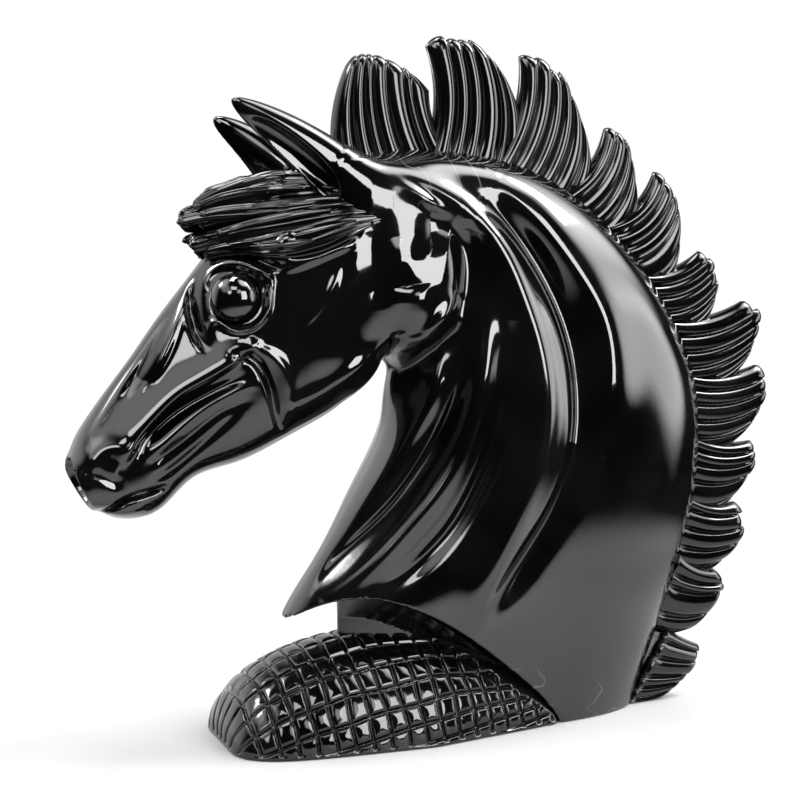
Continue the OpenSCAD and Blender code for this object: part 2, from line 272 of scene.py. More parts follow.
# Carved relief: height (- cuts in), width left and right of the way the path runs, path
relief = [
    # neck: the long folds that run from the poll down to the chest
    (4.3, 5.0, 4.6, [
        (-46, 181), (-30, 178), (-14, 173), (0, 164), (10, 152.5), (16.5, 137),
        (21.5, 120), (23, 102), (20.5, 87), (15, 71), (8, 55), (2, 40),
    ]),
    (-3.2, 4.6, 3.4, [
        (4, 168), (15, 160), (25, 147), (33, 130), (37, 111),
        (36, 92), (30, 74), (22, 60.5), (12, 47), (5, 38),
    ]),
    (-1.6, 6.0, 5.0, [(6, 167), (15, 160), (25, 147), (33, 130), (37, 112), (37, 92)]),
    (2.4, 9, 4, [(12, 175), (24, 162), (36, 147), (44, 134), (47, 119), (45, 102), (40, 88)]),
    (3.3, 3.6, 2.8, [(6, 134), (4, 117), (1, 104), (-4, 90), (-11, 78), (-21, 66), (-32, 55), (-44, 46)]),
    (-3.0, 3.2, 3.2, [(13, 132), (13, 112), (9, 94), (2, 78), (-7, 64), (-19, 53), (-29, 47)]),
    (3.2, 2.2, 2.8, [(-7, 122), (-10, 108), (-16, 95), (-25, 82), (-35, 69), (-45, 55), (-52, 45)]),
    (-3.0, 2.2, 2.2, [(0, 118), (-4, 102), (-11, 88), (-21, 74), (-33, 61), (-45, 48)]),
    (2.6, 3.0, 2.6, [(-3, 140), (-12, 130), (-22, 120), (-31, 110)]),
    (-2.6, 2.6, 2.6, [(0, 131), (-9, 122), (-18, 110), (-24, 98)]),
    # poll and cheek
    (2.0, 8, 8, [(-22, 158), (-21, 148), (-20, 138), (-19, 128)]),
    (4.2, 7.5, 7, [(-21, 143), (-20, 134), (-20, 122)]),
    (-3.0, 4.5, 11, [(-31, 169), (-21, 166), (-12, 163), (-5, 161)]),
    (-2.4, 4.0, 5.0, [(-1, 163), (1, 152), (0, 141), (-5, 131)]),
    (1.8, 2.6, 3.4, [(-57, 106), (-44, 112), (-32, 120), (-22, 128)]),
    (-0.9, 4.5, 4.5, [(-32, 160), (-30, 149), (-29, 136)]),
    (-2.2, 1.6, 1.4, [(-74, 123), (-68, 122), (-64, 118), (-61, 111), (-59, 104), (-56, 99)]),
    (1.4, 2.2, 2.2, [(-70, 126), (-63, 123), (-58, 117), (-56, 108), (-53, 102)]),
    (1.7, 1.3, 1.5, [(-60, 147.5), (-52, 150), (-45, 153), (-36, 156.5)]),
    (-0.6, 3.2, 3.6, [(-57, 142), (-47, 146), (-37, 150)]),
    (0.6, 1.2, 1.2, [(-41, 150), (-46, 139), (-53, 131)]),
    # face
    (3.6, 5.0, 1.8, [
        (-106, 91.5), (-102, 98.5), (-96, 105.5), (-89, 112), (-80.5, 117), (-71.5, 123), (-66, 128),
    ]),
    (-2.0, 2.0, 2.0, [(-101, 94.5), (-94, 101.5), (-86, 107.5), (-76.5, 112.5), (-69, 117)]),
    (1.2, 1.6, 1.6, [(-99, 92), (-91, 98.5), (-81.5, 107), (-72, 112.5), (-66, 114)]),
    (-1.1, 1.4, 1.4, [(-96, 90.5), (-86, 97.5), (-76.5, 105), (-68, 109)]),
    (3.0, 1.8, 4.0, [(-81, 151), (-86, 139), (-91, 127), (-97, 115)]),
    (-2.2, 1.4, 1.4, [(-84, 146), (-91, 133), (-98, 120), (-104, 110)]),
    (2.2, 1.6, 4.0, [(-82, 149), (-92, 134), (-101, 121), (-109, 109), (-117, 97)]),
    (-1.0, 1.6, 1.6, [(-70, 107), (-79, 98), (-88, 90), (-96, 85)]),
    (1.6, 3.2, 3.2, [(-117, 90), (-112, 95), (-107, 96), (-103, 92)]),
    (-0.8, 1.5, 1.5, [(-115, 89), (-111, 87), (-106, 84.5)]),
    (-3.0, 0.9, 0.9, [(-114, 75), (-109, 77), (-104, 80), (-98, 81.5), (-92, 83)]),
    (1.2, 2.0, 2.4, [(-110, 73.5), (-104, 75.5), (-98, 77)]),
    # eye: socket groove in front, lids, brow
    (-3.0, 2.2, 1.6, [(-79, 152), (-82, 145), (-83, 137), (-82, 129), (-80, 124)]),
    (1.7, 0.8, 0.9, [
        (-80, 129), (-77.5, 133), (-74, 130.8), (-70, 130.2),
        (-66, 132), (-63, 136), (-62, 141), (-61, 146),
    ]),
    (2.4, 1.6, 1.3, [(-80, 141), (-79, 146), (-75, 149.5), (-70, 150), (-65, 148), (-61, 144)]),
    (-1.6, 1.0, 1.0, [(-80, 150), (-76, 152.4), (-70, 153), (-64, 151), (-58, 148)]),
    (2.0, 1.2, 1.2, [(-79, 153), (-74, 155.4), (-69, 155.4), (-63, 152.6), (-56, 151), (-47, 153)]),
    (1.2, 0.9, 0.9, [(-78, 156.5), (-73, 158), (-67, 157.4), (-61, 155), (-53, 155), (-45, 157)]),
]
height = sum(h * stroke(path, left, right) for h, left, right, path in relief)
root = np.clip(body_map, 0, None) / np.sqrt(np.clip(body_map, 0, None) + 9)
height *= ramp(0, 9, root)
body_map = body_map + 2 * root * height

# The chest stops at an edge that sweeps from its point down to the ground, over a cove
EDGE_END = 44
edge_line = curve([
    (-64, 31), (-54, 37), (-44, 43.5), (-32, 46), (-20, 43.5),
    (-5, 36), (12, 23.5), (27, 10.5), (35, 1), (EDGE_END, -10),
], 200)
edge_slope = np.gradient(edge_line[:, 1], edge_line[:, 0])


def under_edge(x, z):
    """How far a place lies under the chest's lower edge: straight down, and square to the edge."""
    down = np.interp(x, edge_line[:, 0], edge_line[:, 1]) - z
    return down, down / np.hypot(1, np.interp(x, edge_line[:, 0], edge_slope))


# the waist between the mound and the chest: middle, half length, half width and how it narrows down
WAIST_X, WAIST_REACH, WAIST_HALF, WAIST_UNDERCUT = 6, 41, 15, 0.75


def base_field(x, y, z):
    """Field of the neck, the head, the waist and the foot: negative inside."""
    value, slope_x, slope_z = sample(body_map, x, z)
    body = (y * y - value) / np.sqrt(4 * y * y + slope_x**2 + slope_z**2 + 4)
    down, square = under_edge(x, z)
    body = smooth_max(body, np.where(x < EDGE_END, square, -9), 0.9)
    wide = WAIST_HALF - WAIST_UNDERCUT * np.clip(down, 0, 9)
    ring = np.hypot((x - WAIST_X) / WAIST_REACH, y / wide)
    waist = np.maximum((ring - 1) * 7, -down - 3)
    body = smooth_min(body, waist, 1.6)
    return smooth_max(body, -z, 0.8)


def oval(centre, radii, tilt=0):
    """Field of an ellipsoid; tilt turns it in side view."""
    c, s = np.cos(np.radians(tilt)), np.sin(np.radians(tilt))

    def field(x, y, z):
        dx, dy, dz = x - centre[0], y - centre[1], z - centre[2]
        p, q = (dx * c + dz * s) / radii[0], (dz * c - dx * s) / radii[2]
        r = np.sqrt(p * p + (dy / radii[1]) ** 2 + q * q)
        g = np.sqrt((p / radii[0]) ** 2 + (dy / radii[1] ** 2) ** 2 + (q / radii[2]) ** 2) + 1e-6
        return r * (r - 1) / g

    return field


# an ear's half width, how much flatter than wide it is, its bow, the radius of its tip, its thicker root
EAR_HALF, EAR_FLAT, EAR_BOW, EAR_TIP, EAR_ROOT = 8.6, 1.25, 2.2, 0.35, 4.5


def ear(side, start, tip):
    """A leaf from the poll to its tip, and the hollow of its opening."""
    start, tip = np.array(start, float), np.array(tip, float)
    axis = tip - start
    length = np.linalg.norm(axis)
    axis /= length
    up = np.cross([0, 1, 0], axis)
    up /= np.linalg.norm(up)
    out = np.cross(axis, up) * side

    def field(x, y, z):
        d = np.stack([x - start[0], y - start[1], z - start[2]], -1)
        t = d @ axis / length
        bow = EAR_BOW * np.sin(np.pi * np.clip(t, 0, 1))
        u, v = d @ up - bow * np.sign(up[2]), (d @ out) * EAR_FLAT
        leaf = EAR_HALF * np.clip(1 - np.clip(t, 0, 1) ** 2.1, 0, 1) ** 0.62
        radius = leaf + EAR_TIP + EAR_ROOT * np.clip(1 - 2.2 * t, 0, 1)
        past = np.clip(t - 1, 0, None) * length
        before = np.clip(-t, 0, None) * length
        return np.sqrt(u * u + v * v + past**2 + before**2) - radius

    open_to = -0.62 * up * np.sign(up[2]) + 0.80 * out * np.sign(out[1] * side)
    middle = start + axis * length * 0.63 + open_to * 5.2

    def hollow(x, y, z):
        d = np.stack([x - middle[0], y - middle[1], z - middle[2]], -1)
        p, q = d @ axis / 18.5, d @ open_to / 6.2
        r = d @ np.cross(axis, open_to) / 5.0
        return (np.sqrt(p * p + q * q + r * r) - 1) * 5.0

    return field, hollow


eye_centre = np.array([-71.5, 15.3, 139.8])
ears = {-1: ear(-1, (-20, -13, 160.5), (-72, -15.5, 198.5)), 1: ear(1, (-36, 13, 162), (-69.5, 15.5, 194))}
muzzle_out = np.array([-0.883, 0, -0.469])

# lowest corner, highest corner, blend, sign (+1 adds, -1 hollows out, 0 cuts off), field
details = []
for side in (-1, 1):
    shape, hollow = ears[side]
    socket = oval(eye_centre * (1, side, 1), (7.65, 6.95, 7.65))  # a hair larger than the eyeball
    temple = oval((-56, 18.0 * side, 156), (5.0, 3.4, 3.8), 30)
    low, high = sorted((-8 * side, 30 * side))
    details.append(((-80, low, 152), (-12, high, 204), 7.0, 1, shape))
    details.append(((-80, low, 156), (-26, high, 204), 1.8, -1, hollow))
    low, high = sorted((6 * side, 30 * side))
    details.append(((-84, low, 127), (-59, high, 153), 0.9, -1, socket))
    low, high = sorted((12 * side, 30 * side))
    details.append(((-66, low, 146), (-46, high, 166), 3.0, 1, temple))


def muzzle_end(x, y, z):
    """Field of the flat cut across the muzzle's end."""
    return (x + 117.6) * muzzle_out[0] + (z - 84) * muzzle_out[2]


details.append(((-128, -16, 66), (-104, 16, 104), 1.8, 0, muzzle_end))
nostril = oval((-118.0, 0, 84.0), (8.0, 8.8, 8.2), 28)
details.append(((-128, -14, 66), (-104, 14, 104), 0.7, -1, nostril))


def body_field(x, y, z):
    """The carved body with its ears, eye sockets and muzzle hollow."""
    value = base_field(x, y, z)
    for low, high, blend, sign, shape in details:
        m = np.ones(x.shape, bool)
        for places, least, most in zip((x, y, z), low, high):
            m &= (places >= least) & (places <= most)
        if m.any():
            other = shape(x[m], y[m], z[m])
            if sign == 1:
                value[m] = smooth_min(value[m], other, blend)
            else:
                value[m] = smooth_max(value[m], other if sign == 0 else -other, blend)
    return value


# ---- from a field to a mesh -----------------------------------------------


def surface(field, low, high, size, margin=1.9):
    """Closed mesh of field = 0: vertices, quads and normals, by surface nets on a sparse grid.

    Blocks of cells whose middle lies more than `margin` block widths off the surface are left out."""
    low = np.array(low, float)
    block = 8
    count = np.ceil((np.array(high) - low) / size / block).astype(int)
    centres = np.stack(np.meshgrid(*[np.arange(c) for c in count], indexing="ij"), -1).reshape(-1, 3)
    middle = low + (centres + 0.5) * block * size
    near = np.abs(field(*middle.T)) < block * size * margin
    blocks = centres[near]
    steps = np.stack(np.meshgrid(*[np.arange(block + 1)] * 3, indexing="ij"), -1).reshape(-1, 3)
    shape = count * block + 1
    values = np.full(shape, np.nan, np.float32)
    for part in np.array_split(blocks, max(1, len(blocks) // 400)):
        at = (part[:, None] * block + steps).reshape(-1, 3)
        values[tuple(at.T)] = field(*(low + at * size).T)
    inside = values < 0
    known = ~np.isnan(values)
    corners = [(a, b, c) for a in (0, 1) for b in (0, 1) for c in (0, 1)]

    def shifted(array, a, b, c):
        return array[a : shape[0] - 1 + a, b : shape[1] - 1 + b, c : shape[2] - 1 + c]

    full = np.ones(shape - 1, bool)
    some = np.zeros(shape - 1, bool)
    ready = np.ones(shape - 1, bool)
    for corner in corners:
        full &= shifted(inside, *corner)
        some |= shifted(inside, *corner)
        ready &= shifted(known, *corner)
    cells = np.argwhere(some & ~full & ready)
    index = np.full(shape - 1, -1, np.int64)
    index[tuple(cells.T)] = np.arange(len(cells))
    total, hits = np.zeros((len(cells), 3)), np.zeros(len(cells))
    for axis in range(3):
        for a, b in ((0, 0), (0, 1), (1, 0), (1, 1)):
            start = np.insert([a, b], axis, 0)
            end = start + np.eye(3, dtype=int)[axis]
            v0, v1 = values[tuple((cells + start).T)], values[tuple((cells + end).T)]
            cross = (v0 < 0) != (v1 < 0)
            t = np.where(cross, v0 / np.where(cross, v0 - v1, 1), 0)
            point = cells + start + t[:, None] * np.eye(3)[axis]
            total += point * cross[:, None]
            hits += cross
    points = low + total / hits[:, None] * size
    quads = []
    for axis in range(3):
        other = [o for o in range(3) if o != axis]
        first = [slice(None)] * 3
        second = [slice(None)] * 3
        first[axis], second[axis] = slice(0, -1), slice(1, None)
        crossing = inside[tuple(first)] != inside[tuple(second)]
        at = np.argwhere(crossing & known[tuple(first)] & known[tuple(second)])
        at = at[(at[:, other[0]] > 0) & (at[:, other[1]] > 0)]
        at = at[(at[:, other[0]] < shape[other[0]] - 1) & (at[:, other[1]] < shape[other[1]] - 1)]
        ring = []
        for a, b in ((1, 1), (0, 1), (0, 0), (1, 0)):
            cell = at.copy()
            cell[:, other[0]] -= a
            cell[:, other[1]] -= b
            ring.append(index[tuple(cell.T)])
        ring = np.stack(ring, 1)
        flip = inside[tuple(at.T)] if axis != 1 else ~inside[tuple(at.T)]
        ring[~flip] = ring[~flip][:, ::-1]
        quads.append(ring[(ring >= 0).all(1)])
    quads = np.concatenate(quads)
    points = relax(points, quads, 2)
    for _ in range(4):
        value = field(*points.T)
        slope = gradient(field, points)
        move = value[:, None] * slope / np.maximum((slope**2).sum(1), 0.05)[:, None]
        far = np.linalg.norm(move, axis=1)
        points = points - move * np.minimum(1, 0.6 * size / np.maximum(far, 1e-9))[:, None]
    slope = gradient(field, points, 0.12)
    return points, quads, slope / np.maximum(np.linalg.norm(slope, axis=1), 1e-9)[:, None]


def gradient(field, points, h=0.05):
    """Slope of a field at the points, from samples h to both sides."""
    step = np.eye(3) * h
    return np.stack([(field(*(points + e).T) - field(*(points - e).T)) / (2 * h) for e in step], 1)


def relax(points, quads, rounds):
    """Even out the grid: each vertex moves halfway to the middle of its neighbours."""
    for _ in range(rounds):
        total, hits = np.zeros(points.shape), np.zeros(len(points))
        for k in range(4):
            a, b = quads[:, k], quads[:, (k + 1) % 4]
            for p, q in ((a, b), (b, a)):
                for axis in range(3):
                    total[:, axis] += np.bincount(p, points[q, axis], len(points))
                hits += np.bincount(p, minlength=len(points))
        points = 0.5 * points + 0.5 * total / np.maximum(hits, 1)[:, None]
    return points


def make_piece(name, points, faces, material, slot, nodes, normals=None, **attributes):
    """Adds a mesh piece that rides on the body and stands for its CAD nodes."""
    mesh = bpy.data.meshes.new(name)
    faces = np.asarray(faces)
    sides = faces.shape[1]
    mesh.vertices.add(len(points))
    mesh.vertices.foreach_set("co", (np.asarray(points) * unit).astype(np.float32).ravel())
    mesh.loops.add(faces.size)
    mesh.loops.foreach_set("vertex_index", faces.astype(np.int32).ravel())
    mesh.polygons.add(len(faces))
    mesh.polygons.foreach_set("loop_start", np.arange(0, faces.size, sides, dtype=np.int32))
    for key, value in attributes.items():
        layer = mesh.attributes.new(key, "FLOAT", "POINT")
        layer.data.foreach_set("value", np.asarray(value, np.float32))
    mesh.update(calc_edges=True)
    mesh.validate()
    mesh.polygons.foreach_set("use_smooth", np.ones(len(mesh.polygons), bool))
    if normals is not None:
        mesh.normals_split_custom_set_from_vertices(normals.tolist())
    mesh.materials.append(material)
    piece = bpy.data.objects.new(name, mesh)
    bpy.context.scene.collection.objects.link(piece)
    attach(piece, "root")
    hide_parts(*nodes)
    return piece


def part_of(points, quads, keep):
    """The quads marked by keep, with their own vertex list."""
    chosen = quads[keep]
    used = np.unique(chosen)
    renumber = np.zeros(len(points), int)
    renumber[used] = np.arange(len(used))
    return used, renumber[chosen]


# ---- materials -------------------------------------------------------------


def stone(name, dark, light, rough_low, rough_high, veins=0.0, grain=0.0, shine=0.5):
    """Black stone: cloudy tone, uneven polish, a few pale veins, and grooves that are duller and darkened
    with painted shade.
    """
    material = bpy.data.materials.new(name)
    material.use_nodes = True
    nodes, links = material.node_tree.nodes, material.node_tree.links
    shader = nodes["Principled BSDF"]
    shader.inputs["IOR"].default_value = 1.65
    shader.inputs["Specular IOR Level"].default_value = shine
    place = nodes.new("ShaderNodeTexCoord")

    def noise(scale, detail, rough=0.55, warp=0.0):
        node = nodes.new("ShaderNodeTexNoise")
        node.inputs["Scale"].default_value = scale
        node.inputs["Detail"].default_value = detail
        node.inputs["Roughness"].default_value = rough
        node.inputs["Distortion"].default_value = warp
        links.new(place.outputs["Object"], node.inputs["Vector"])
        return node.outputs["Fac"]

    def span(value, a, b, c, d):
        node = nodes.new("ShaderNodeMapRange")
        for key, number in zip(("From Min", "From Max", "To Min", "To Max"), (a, b, c, d)):
            node.inputs[key].default_value = number
        links.new(value, node.inputs["Value"])
        return node.outputs["Result"]

    def maths(kind, a, b=None):
        node = nodes.new("ShaderNodeMath")
        node.operation = kind
        for socket, value in zip(node.inputs, (a, b)):
            if isinstance(value, (int, float)):
                socket.default_value = value
            elif value is not None:
                links.new(value, socket)
        return node.outputs[0]

    def mix(factor, a, b):
        node = nodes.new("ShaderNodeMix")
        node.data_type = "RGBA"
        links.new(factor, node.inputs["Factor"])
        for socket, value in ((node.inputs[6], a), (node.inputs[7], b)):
            if isinstance(value, tuple):
                socket.default_value = (*value, 1)
            else:
                links.new(value, socket)
        return node.outputs[2]

    colour = mix(span(noise(28, 5), 0.38, 0.66, 0, 1), dark, light)
    if veins:
        line = maths("ABSOLUTE", maths("SUBTRACT", noise(9, 3, 0.5, 1.4), 0.5))
        thin = span(line, 0.0, 0.0035, 1, 0)
        where = span(noise(13, 2), 0.56, 0.64, 0, veins)
        colour = mix(maths("MULTIPLY", thin, where), colour, (0.32, 0.32, 0.31))
    # painted shade: an attribute darkens the colour in the grooves and recesses and also dulls their polish
    groove = nodes.new("ShaderNodeAttribute")
    groove.attribute_name = "groove"
    colour = mix(maths("MULTIPLY", groove.outputs["Fac"], 0.8), colour, (0.002, 0.002, 0.002))
    links.new(colour, shader.inputs["Base Color"])
    polish = span(noise(55, 4), 0.35, 0.7, rough_low, rough_high)
    dull_and_shaded = maths("MULTIPLY", groove.outputs["Fac"], 0.1)
    links.new(maths("ADD", polish, dull_and_shaded), shader.inputs["Roughness"])
    bump = nodes.new("ShaderNodeBump")
    bump.inputs["Strength"].default_value = grain
    bump.inputs["Distance"].default_value = 0.0004
    links.new(noise(420, 3), bump.inputs["Height"])
    links.new(bump.outputs["Normal"], shader.inputs["Normal"])
    return material


INK, COAL = (0.0008, 0.0008, 0.0009), (0.003, 0.003, 0.0031)
black_stone = stone("black_stone", INK, COAL, 0.03, 0.09, grain=0.02)
veined_stone = stone(
    "veined_stone", (0.001, 0.001, 0.0011), (0.004, 0.004, 0.0041), 0.05, 0.13, veins=0.3, grain=0.03
)
hair_stone = stone("carved_hair_stone", INK, COAL, 0.06, 0.14, grain=0.04, shine=0.34)
hatched_stone = stone("hatched_stone", INK, COAL, 0.04, 0.10, grain=0.03, shine=0.36)
eye_stone = stone("eye_stone", INK, (0.002, 0.002, 0.0021), 0.02, 0.05)


# ---- body pieces -----------------------------------------------------------


def recess_shade(x, y, z):
    """Painted shade: 1 deep in the ears, the muzzle's hollow and the cove, 0 on open surfaces."""
    dark = ramp(0.4, -0.5, nostril(x, y, z))
    for side in (-1, 1):
        dark = np.maximum(dark, ramp(0.2, -0.7, ears[side][1](x, y, z)))
    return np.maximum(dark, ramp(0.3, 1.2, under_edge(x, z)[1]) * (x < EDGE_END))


coarse = 0.7
points, quads, normals = surface(body_field, (-126, -33, -3), (96, 33, 206), coarse)
middle = points[quads].mean(1)
# the head's seam with the neck runs behind the cheek: its x at some heights
seam_z = (90, 105, 112, 130, 146, 160, 175, 190)
seam_x = (-24, -24, -23, -12, -8, -16, -33, -46)
chest_top = 66
NECK, HEAD, EAR = 0, 1, 2
before_seam = middle[:, 0] < np.interp(middle[:, 2], seam_z, seam_x)
region = np.where(before_seam & (middle[:, 2] >= chest_top), HEAD, NECK)


def on_ear(places, side, margin):
    """True where the ear stands out of the head by more than the margin."""
    plain = base_field(*places.T)
    beyond = (places[:, 1] * side > 1) & (places[:, 0] < -24) & (places[:, 2] > 160)
    return beyond & (ears[side][0](*places.T) < plain - margin)


for side in (-1, 1):
    region[on_ear(middle, side, 1.6)] = EAR
for number, node, look in ((NECK, "neck", veined_stone), (HEAD, "head", black_stone)):
    used, faces = part_of(points, quads, region == number)
    # painted shade in the ear hollows, the muzzle's hollow and the cove
    dull_and_shaded = recess_shade(*points[used].T)
    make_piece(node + "_body", points[used], faces, look, "black_stone", [node], normals[used], groove=dull_and_shaded)

# the ears come from the same field on a finer grid, because their rims are thin
for side, word in ((-1, "left"), (1, "right")):
    low, high = sorted((0, 29 * side))
    fine = 0.5
    points, quads, normals = surface(body_field, (-78, low, 158), (-18, high, 204), fine)
    used, faces = part_of(points, quads, on_ear(points[quads].mean(1), side, 0.8))
    points, normals = points[used], normals[used]
    # painted shade in the ear's hollow
    dull_and_shaded = recess_shade(*points.T)
    nodes = [word + "_ear"]
    make_piece("ear_" + word, points, faces, black_stone, "black_stone", nodes, normals, groove=dull_and_shaded)


# ---- eyes ------------------------------------------------------------------

EYE_RADIUS, EYE_FLAT, CORNEA = 7.5, 0.9, 0.28


def tube_faces(rings, steps):
    """Quads between neighbouring rings of points."""
    i, j = np.meshgrid(np.arange(rings), np.arange(steps), indexing="ij")
    k = (j + 1) % steps
    corners = i * steps + j, i * steps + k, (i + 1) * steps + k, (i + 1) * steps + j
    return np.stack(corners, -1).reshape(-1, 4)


def eyeball(side):
    """A polished ball with a slightly raised cornea that faces outwards."""
    rings, steps = 40, 64
    a = np.linspace(0, np.pi, rings + 1)[:, None]
    b = np.linspace(0, 2 * np.pi, steps, endpoint=False)[None]
    radius = EYE_RADIUS + CORNEA * np.exp(-((a / 0.62) ** 4))
    across = radius * np.sin(a)
    ball = np.stack([across * np.cos(b), side * radius * np.cos(a) + 0 * b, across * np.sin(b)], -1)
    ball = ball.reshape(-1, 3) * (1, EYE_FLAT, 1) + eye_centre * (1, side, 1)
    faces = tube_faces(rings, steps)
    return ball, faces if side > 0 else faces[:, ::-1]


for side, word in ((-1, "left"), (1, "right")):
    points, faces = eyeball(side)
    level = np.zeros(len(points))
    make_piece("eye_ball_" + word, points, faces, eye_stone, "eye_stone", [word + "_eye"], groove=level)


# ---- mane ------------------------------------------------------------------

# root front, root back, tip front, tip middle, tip back, bend, strands
locks = [
    ((-33, 180), (0, 180), (-31, 211), (-20, 215), (-4, 204), -5, 7),
    ((-4, 180), (20, 178), (-6, 218), (8, 221), (22, 206), 8, 6),
    ((18, 178), (42, 167), (26, 217), (41, 210), (49, 188), 9, 6),
    ((40, 169), (57, 155), (57, 193), (65, 188), (67, 172), 9, 5),
    ((55, 159), (68, 142), (75, 178), (84, 169), (84, 150), 9, 5),
    ((65, 144), (77, 126), (94, 153), (100, 144), (97, 132), 9, 5),
    ((74, 129), (84, 108), (112, 136), (117, 127), (110, 114), 9, 5),
    ((82, 111), (87, 88), (116, 113), (120, 102), (109, 89), 7, 5),
    ((86, 90), (87, 67), (115, 87), (115, 77), (104, 66), 6, 5),
    ((86, 69), (83, 47), (108, 66), (112, 55), (100, 44), 5, 5),
    ((84, 49), (76, 29), (101, 43), (104, 34), (93, 23), 4, 4),
    ((80, 22), (67, 0), (95, 17), (92, 8), (80, 0), 1, 6),
]
PER_STRAND, MANE_RINGS = 12, 44  # mesh steps across each strand and along a lock
ROOT_HALF, TIP_HALF = 6.4, 2.5  # half thickness of a lock
rng = np.random.default_rng(7)


def mane_lock(lock):
    """A fan of rounded strands with cut grooves between them: rings from root to tip."""
    root_front, root_back, front, top, back = (np.array(v, float) for v in lock[:5])
    spread = (root_back - root_front) / np.linalg.norm(root_back - root_front)
    root_front, root_back = root_front - 3 * spread, root_back + 5 * spread
    bend, strands = lock[5], lock[6]
    # strands of uneven width and length
    m = strands * PER_STRAND
    across = np.linspace(0, 1, m + 1)
    uneven = rng.uniform(-0.3, 0.3, strands + 1)
    uneven[[0, -1]] = 0
    edges = (np.arange(strands + 1) + uneven) / strands
    across = np.interp(across, np.linspace(0, 1, strands + 1), edges)
    phase = np.linspace(0, strands, m + 1)
    hump = np.abs(np.sin(np.pi * phase))
    long = np.repeat(rng.uniform(0.93, 1.0, strands), PER_STRAND)
    long = np.append(long, long[-1])
    # where each line across the lock starts, bends and ends
    c = across[:, None]
    crown = 2 * top - (front + back) / 2
    start = root_front + (root_back - root_front) * c
    tip = front * (1 - c) ** 2 + crown * 2 * c * (1 - c) + back * c**2
    run = tip - start
    side = np.stack([run[:, 1], -run[:, 0]], 1) / np.linalg.norm(run, axis=1)[:, None]
    middle = (start + tip) / 2 + side * bend
    rows_p, rows_shade = [], []
    edge = np.sqrt(np.clip(1 - np.abs(2 * across - 1) ** 7, 0, 1))
    for r in range(MANE_RINGS + 1):
        t = r / MANE_RINGS
        reach = t * (1 - 0.018 * t**3 * (1 - hump**0.7)) * (1 - (1 - long) * t**3)
        s = reach[:, None]
        place = start * (1 - s) ** 2 + middle * 2 * s * (1 - s) + tip * s**2
        depth = 0.55 * ramp(-0.1, 0.2, t) * (1 - 0.75 * ramp(0.84, 1, t))
        ridge = 1 - depth * (1 - hump**0.42)
        end = np.sqrt(np.clip(1 - np.clip((t - 0.86) / 0.14, 0, 1) ** 2, 0, 1))
        half = (ROOT_HALF * (1 - t) ** 0.8 + TIP_HALF * t) * ridge * edge
        half = half * (0.16 + 0.84 * end) * (1.06 - 0.3 * across**1.5)
        if r == MANE_RINGS:
            half = half * 0.1
        rows_p.append(np.stack([place[:, 0], -half, place[:, 1]], 1))
        rows_p.append(np.stack([place[:, 0], half, place[:, 1]], 1))
        # painted shade in the cuts between the strands
        rows_shade.append(np.exp(-((hump / 0.28) ** 2)))
    # each ring runs out over the near side and back over the far side
    grid = np.array(rows_p).reshape(MANE_RINGS + 1, 2, m + 1, 3)
    ring = np.concatenate([grid[:, 0], grid[:, 1, ::-1]], 1)
    groove = np.array(rows_shade)
    groove = np.concatenate([groove, groove[:, ::-1]], 1)
    n = ring.shape[1]
    near = np.arange(m)
    far = n - 1 - near
    foot = np.stack([near, far, far - 1, near + 1], 1)
    tips = MANE_RINGS * n + np.stack([near, near + 1, far - 1, far], 1)
    points = ring.reshape(-1, 3)
    points[:, 2] = np.clip(points[:, 2], 0, None)
    return points, np.concatenate([tube_faces(MANE_RINGS, n), foot, tips]), groove.ravel()


for number, lock in enumerate(locks, 1):
    points, faces, groove = mane_lock(lock)
    name, nodes = "mane_carved_%02d" % number, ["mane_lock_%02d" % number]
    make_piece(name, points, faces, hair_stone, "carved_hair_stone", nodes, groove=groove)


# ---- forelock --------------------------------------------------------------

# guides from the ear's root to the forehead, side view, top to bottom
guides = np.array([
    [(-40, 175), (-51, 175), (-60, 174.5), (-67, 172.5), (-74, 170), (-81, 166)],
    [(-30, 169.5), (-42, 170.5), (-53, 169.5), (-64, 168), (-75, 166), (-86, 162.5)],
    [(-25, 166.5), (-38, 166.5), (-51, 164.5), (-64, 162), (-75, 160), (-86, 157.5)],
    [(-25, 165), (-38, 163), (-51, 159.5), (-63, 156.5), (-73, 154.5), (-83, 151.5)],
    [(-25, 163.5), (-36, 160), (-46, 156), (-55, 154), (-65, 153.5), (-74, 154)],
], float)


LAST_GUIDE = len(guides) - 1
# locks, thickness, height over the skull, where they start and end
layers = [
    (6, 3.6, 0.0, (0.0, 0.02), (0.88, 0.98)),
    (6, 2.5, 1.4, (0.02, 0.3), (0.82, 1.0)),
    (6, 1.5, 2.6, (0.25, 0.5), (0.78, 1.0)),
]
HAIR_RINGS, HAIR_STEPS = 48, 20  # mesh steps along and around a lock
RIBS, RIB_HEIGHT = 5, 0.16  # strands around a lock


def guide_line(u, t):
    """Side-view points at the places u across the guides and t along them, smoothed."""
    rows = guides.reshape(len(guides), -1)
    pick = spline(rows, bends(rows), u).reshape(len(t), -1, 2)
    place = t * (pick.shape[1] - 1)
    k = np.clip(place.astype(int), 0, pick.shape[1] - 2)
    f = (place - k)[:, None]
    each = np.arange(len(t))
    line = pick[each, k] * (1 - f) + pick[each, k + 1] * f
    for _ in range(6):
        line[1:-1] = (line[:-2] + 2 * line[1:-1] + line[2:]) / 4
    return line


def one_long(vectors):
    """The vectors scaled to length 1."""
    return vectors / np.linalg.norm(vectors, axis=1)[:, None]


